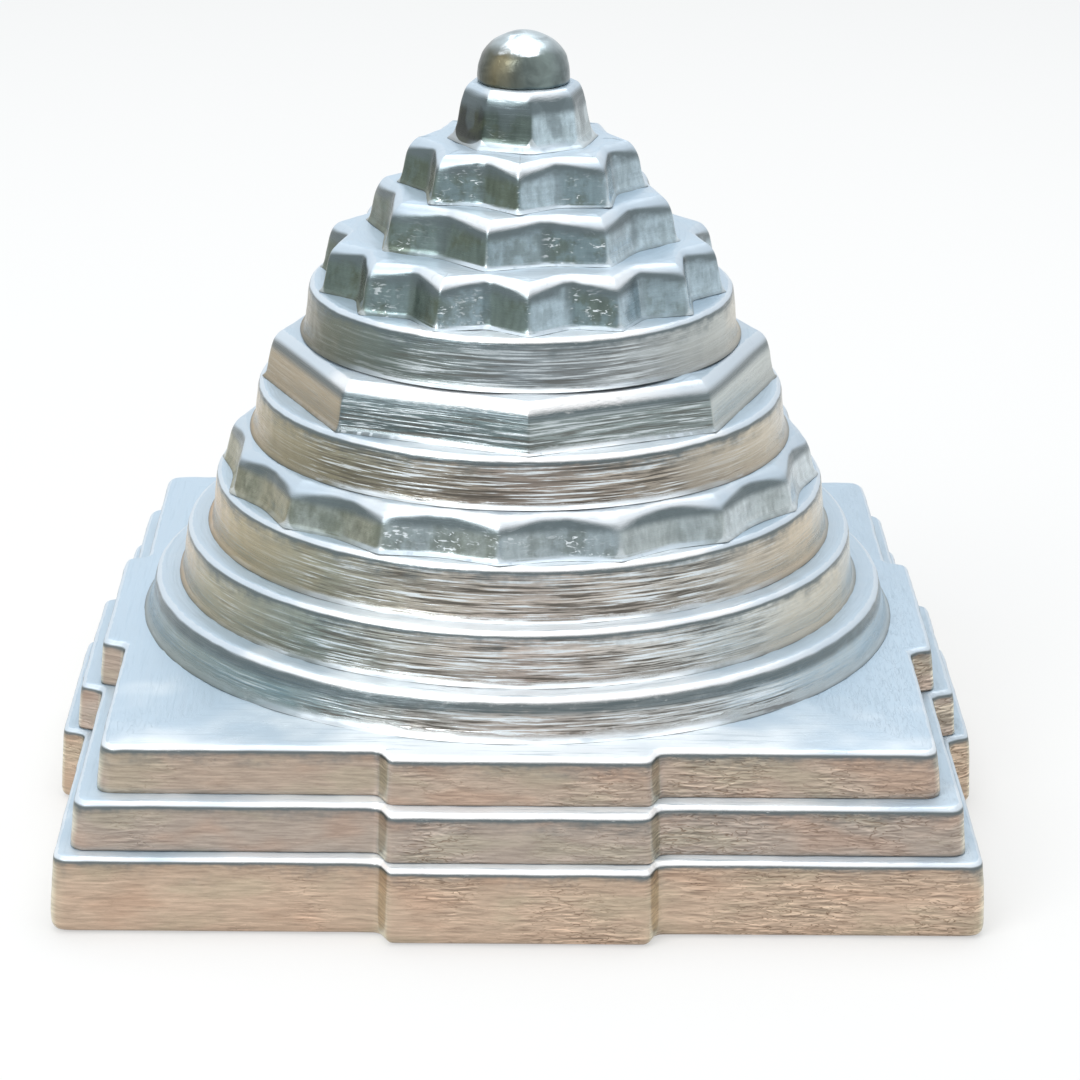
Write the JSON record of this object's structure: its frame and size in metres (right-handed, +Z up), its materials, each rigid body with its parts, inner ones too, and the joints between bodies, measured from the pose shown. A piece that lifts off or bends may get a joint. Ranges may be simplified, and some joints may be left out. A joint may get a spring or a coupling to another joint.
{
  "type": "meru shri yantra",
  "caption": "Polished metal meru shri yantra: gated square tiers, round girdles, lotus and star tiers stepping up to a domed bindu on a small octagonal block.",
  "frame": {"origin": "centre of the base's flat underside", "axes": "+Z up from the base to the bindu; -Y is the front, where a corner of the octagon and a gate face"},
  "size_m": [0.08, 0.08, 0.0662],
  "materials": {
    "silver": "polished cast metal",
    "steel": "plain turned"
  },
  "bodies": {
    "root": {"bhupura_lower": "silver", "bhupura_middle": "silver", "bhupura_upper": "silver", "mekhala_lower": "silver", "mekhala_middle": "silver", "mekhala_upper": "silver", "lotus_sixteen": "silver", "lotus_ring": "silver", "lotus_eight": "silver", "star_ring": "silver", "star_fourteen": "silver", "star_eight_lower": "silver", "star_eight_upper": "silver", "crown_block": "silver", "bindu": "silver", "tie_rod": "steel", "tie_rod_nut": "steel", "tie_rod_washer": "steel", "base_cover": "steel", "base_cover_screws": "steel", "tier_dowels": "steel"}
  },
  "joints": []
}
